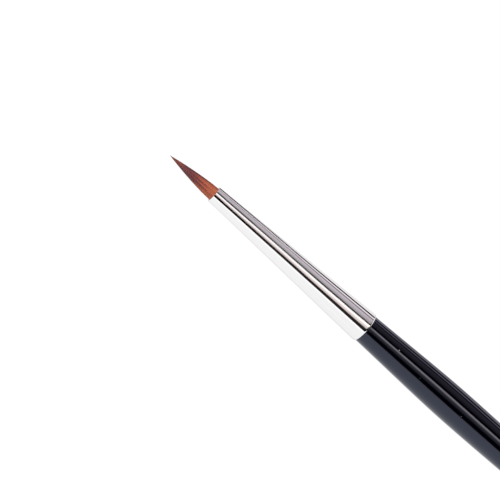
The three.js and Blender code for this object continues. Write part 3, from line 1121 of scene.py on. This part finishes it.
# %% Hang the cards
BRIGHTEST = 3.8
FULL_TURN = 360
FERRULE_FAN = (-0.076, -0.042), (4.9, -2.4), (0.09, 0)  # from, to; degrees turned; stretch
HANDLE_FAN = (0.010, 0.125), (0.8, 0.2), (0, 0)
HANDLE_HUE = (1.13, 1.0, 1.0)
MOUTH_ZONE = (-0.082, -0.040)
JOINT_ZONE = (0.001, 0.011)
END_ZONE = (0.28, 0.34)


def hung(cards_of_set, at, hue=TINTS["white"]):
    """One set of cards as a ramp over the angle round the brush, in parts of the brightest."""
    stops = [(angle / FULL_TURN + 0.5,
              tuple(light / BRIGHTEST * c * h for c, h in zip(TINTS[tint], hue)))
             for name, start, end, *lights, tint in cards_of_set
             for angle, light in zip((start, end), lights)]
    return board.ramp(at / (2 * np.pi) + 0.5, stops)


def fanned(places, degrees, stretch):
    """The angle round the brush that a card has where it is hung straight: (a - d) / (1 + s)."""
    shift, wider = (board.node("MapRange", {}, {0: ahead, 1: places[0], 2: places[1],
                                                3: ends[0], 4: ends[1]})
                    for ends in (np.radians(degrees), stretch))
    return (round_it - shift) / (1 + wider)


over_ferrule = fanned(*FERRULE_FAN)
cards = board.mixed(board.smooth(ahead, *MOUTH_ZONE), hung(mouth_cards, over_ferrule),
                    hung(FERRULE_CARDS, over_ferrule))
cards = board.mixed(board.smooth(ahead, *JOINT_ZONE), cards,
                    hung(HANDLE_CARDS, fanned(*HANDLE_FAN), HANDLE_HUE))
cards = board.mixed(board.smooth(ahead, *END_ZONE), cards, hung(END_CARDS, round_it))
print("the brightest card shines at", BRIGHTEST, "times white")

# %% [markdown]
# The light of the world
#
# The world has three faces. The camera sees plain white behind the brush, mirrors see the
# cards, and everything else is lit by an even white. Light Path says which ray is asking.

# %% Light the world
EVEN_LIGHT = 0.22
WHITE = (1, 1, 1, 1)

path = board.node("LightPath", out="Is Camera Ray")
seen = board.node("Background", {}, {"Color": WHITE, "Strength": 1.0})
mirrored = board.node("Background", {}, {"Color": cards, "Strength": BRIGHTEST})
even = board.node("Background", {}, {"Color": WHITE, "Strength": EVEN_LIGHT})
lit = board.node("MixShader", {}, {0: path.also("Is Glossy Ray"), 1: even, 2: mirrored})
through = path.math("MAXIMUM", path, path.also("Is Transmission Ray"))
both = board.node("MixShader", {}, {0: through, 1: lit, 2: seen})
board.node("OutputWorld", {}, {"Surface": both})
print("even light", EVEN_LIGHT)

# %% [markdown]
# Key light
#
# One large soft lamp gives the hair a lit side. It hangs a little above the camera's line and
# toward the tip. It is kept out of reflections, where the cards already stand.

# %% Hang the lamp
KEY_WATTS = 2.4
KEY_SIZE = 0.25
KEY_FROM = 0.6
KEY_AIM = (0.92, 0.28, -0.25)

key = add("key", bpy.data.lights.new("key", "AREA"))
key.data.shape = "SQUARE"
key.data.size = KEY_SIZE
key.data.energy = KEY_WATTS
key.visible_glossy = False
aim = unit(KEY_AIM[0] * near_side + KEY_AIM[1] * far_edge + KEY_AIM[2] * AXIS)
key_right = unit(np.cross(AXIS, aim))
key.matrix_world = standing(MOUTH + aim * KEY_FROM, key_right, np.cross(aim, key_right), aim)
print("lamp of", KEY_WATTS, "W, hung", KEY_FROM, "m away")

# %% [markdown]
# Floor
#
# The floor is pale and plain. To the camera and to mirrors it mostly glows white, so the
# brush stands on a white ground and keeps a faint shadow. All other rays find a matt grey.

# %% Lay the floor
FLOOR_HALF = 3.0
FLOOR_GLOW = 0.94
FLOOR_WHITE = 1.06
FLOOR_GREY = (0.86, 0.86, 0.86, 1)

floor_mesh = bpy.data.meshes.new("floor")
floor_corners = np.array([[-1, -1, 0], [1, -1, 0], [1, 1, 0], [-1, 1, 0]]) * FLOOR_HALF
floor_mesh.from_pydata(floor_corners.tolist(), [], [(0, 1, 2, 3)])
floor = add("floor", floor_mesh)
material = bpy.data.materials.new("pale_floor")
board = Board(material)
path = board.node("LightPath", out="Is Camera Ray")
mirrors = path.math("MAXIMUM", path.also("Is Glossy Ray"), path.also("Is Transmission Ray"))
looked_at = path.math("MAXIMUM", path, mirrors)
matt = board.node("BsdfDiffuse", {}, {"Color": FLOOR_GREY})
glow = board.node("Emission", {}, {"Color": WHITE, "Strength": FLOOR_WHITE})
ground = board.node("MixShader", {}, {0: looked_at * FLOOR_GLOW, 1: matt, 2: glow})
board.node("OutputMaterial", {}, {"Surface": ground})
floor_mesh.materials.append(material)
print("floor of", 2 * FLOOR_HALF, "m, glowing at", FLOOR_WHITE)

# %% [markdown]
# Closing
#
# The picture is shown as it was lit, without a film look.

# %% Finish
bpy.context.scene.view_settings.view_transform = "Standard"
